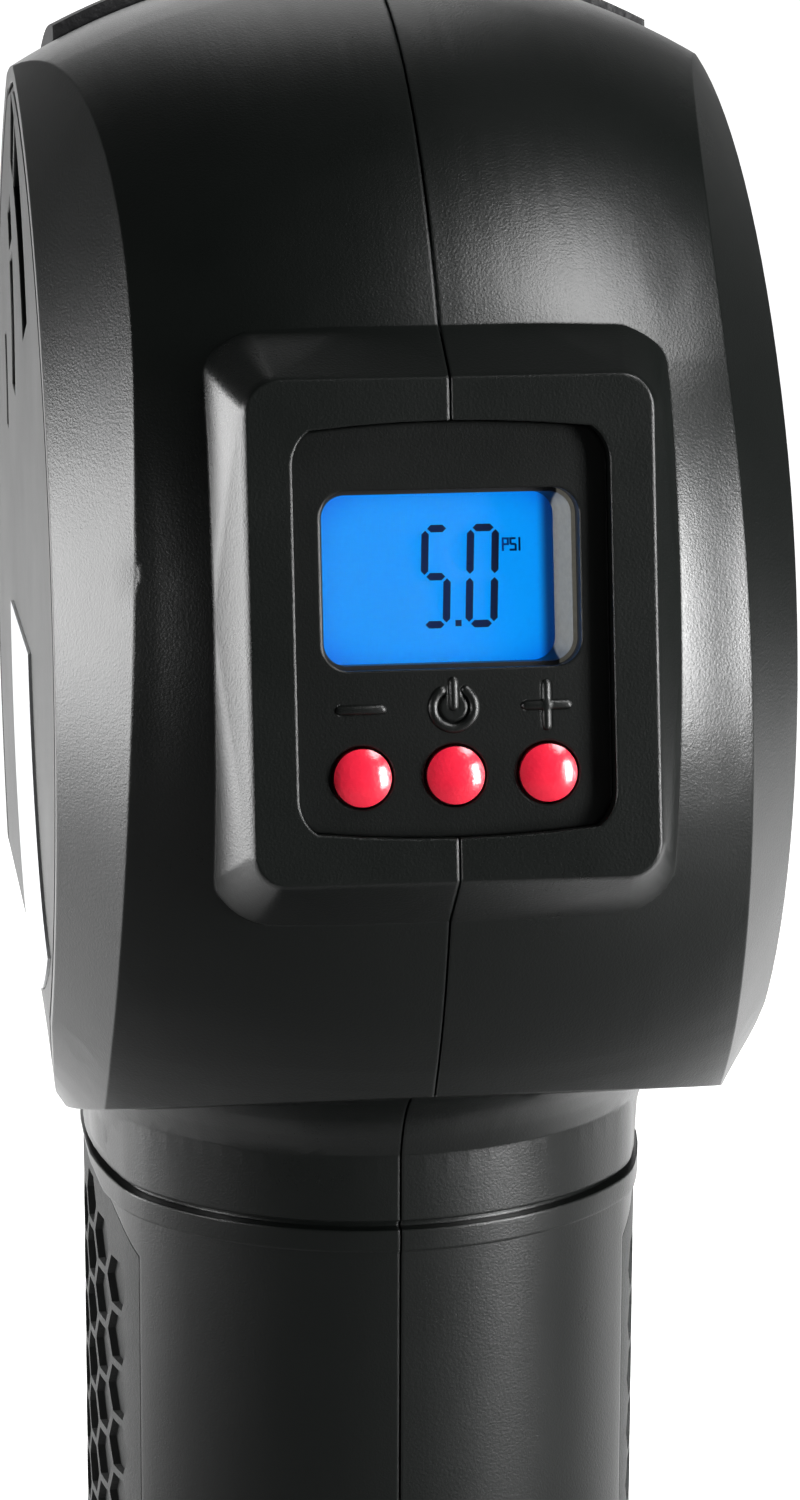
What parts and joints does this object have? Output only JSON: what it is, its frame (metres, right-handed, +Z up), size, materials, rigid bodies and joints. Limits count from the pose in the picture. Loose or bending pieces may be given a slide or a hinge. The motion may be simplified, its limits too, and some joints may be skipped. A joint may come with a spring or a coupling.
{
  "type": "portable tire inflator",
  "caption": "Cordless pistol-shaped tire inflator: a drum pump housing with a backlit display and push buttons, a nose outlet, and a slide-in battery in the grip.",
  "frame": {"origin": "middle of the foot's flat underside, on the grip's axis, where the tool stands", "axes": "+Z up along the grip, +Y forward out of the nose, +X to the right of someone who reads the display"},
  "size_m": [0.074, 0.1712, 0.2515],
  "materials": {
    "shell": "fine spark-eroded black, satin",
    "cover": "fine-grained black",
    "badge": "silver-painted, satin",
    "pad": "moulded rubber",
    "panel": "fine-grained black",
    "bezel": "pale moulded plastic",
    "window": "clear",
    "lcd": "backlit blue",
    "board": "green board",
    "switch": "stamped",
    "button": "glossy red",
    "trigger": "satin",
    "brass": "turned",
    "lens": "clear",
    "reflector": "mirror",
    "led": "phosphor",
    "clip": "satin grey",
    "fairing": "black, semi-gloss",
    "motor": "plated",
    "shaft": "ground",
    "fan": "moulded",
    "alloy": "die-cast",
    "tube": "matt",
    "terminal": "moulded",
    "case": "fine spark-eroded black, satin",
    "cell": "shrink-wrapped",
    "latch": "satin grey",
    "socket": "plated",
    "sole": "matt",
    "screw": "zinc-plated"
  },
  "bodies": {
    "housing": {"left_housing": "shell", "right_housing": "shell", "left_side_cover": "cover", "right_side_cover": "cover", "left_badge": "badge", "right_badge": "badge", "left_grip_pad": "pad", "right_grip_pad": "pad", "control_panel": "panel", "lcd_frame": "bezel", "display_window": "window", "lcd_module": "lcd", "control_board": "board", "tact_switches": "switch", "trigger_switch": "terminal", "front_cap": "cover", "outlet_fitting": "brass", "led_lens": "lens", "led_reflector": "reflector", "led_chip": "led", "hose_clip": "clip", "top_fairing": "fairing", "motor_can": "motor", "crankcase": "alloy", "pump_cylinder": "alloy", "cylinder_head": "alloy", "pressure_tube": "tube", "terminal_block": "terminal", "housing_screws": "screw"},
    "rotor": {"rotor_shaft": "shaft", "cooling_fan": "fan"},
    "minus_key": {"minus_button": "button"},
    "power_key": {"power_button": "button"},
    "plus_key": {"plus_button": "button"},
    "trigger_key": {"trigger": "trigger"},
    "battery": {"battery_case": "case", "battery_stem": "case", "battery_cells": "cell", "battery_cap": "case", "charge_socket": "socket", "foot_sole": "sole"},
    "left_catch": {"left_latch": "latch"},
    "right_catch": {"right_latch": "latch"}
  },
  "joints": [
    {"name": "rotor_spin", "type": "hinge", "parent": "housing", "child": "rotor", "pos_m": [0, -0.052, 0.168], "axis": [0, 1, 0], "continuous": true},
    {"name": "minus_press", "type": "slide", "parent": "housing", "child": "minus_key", "axis": [0, 0.9833, -0.1822], "range_m": [0, 0.0008], "stiffness_N_per_m": 250},
    {"name": "power_press", "type": "slide", "parent": "housing", "child": "power_key", "axis": [0, 0.9833, -0.1822], "range_m": [0, 0.0008], "stiffness_N_per_m": 250},
    {"name": "plus_press", "type": "slide", "parent": "housing", "child": "plus_key", "axis": [0, 0.9833, -0.1822], "range_m": [0, 0.0008], "stiffness_N_per_m": 250},
    {"name": "trigger_pull", "type": "slide", "parent": "housing", "child": "trigger_key", "axis": [0, -1, 0], "range_m": [0, 0.004], "stiffness_N_per_m": 400},
    {"name": "battery_slide", "type": "slide", "parent": "housing", "child": "battery", "axis": [0, 0, -1], "range_m": [0, 0.068]},
    {"name": "left_latch_press", "type": "slide", "parent": "battery", "child": "left_catch", "axis": [1, 0, 0], "range_m": [0, 0.0016], "stiffness_N_per_m": 300},
    {"name": "right_latch_press", "type": "slide", "parent": "battery", "child": "right_catch", "axis": [-1, 0, 0], "range_m": [0, 0.0016], "stiffness_N_per_m": 300}
  ]
}
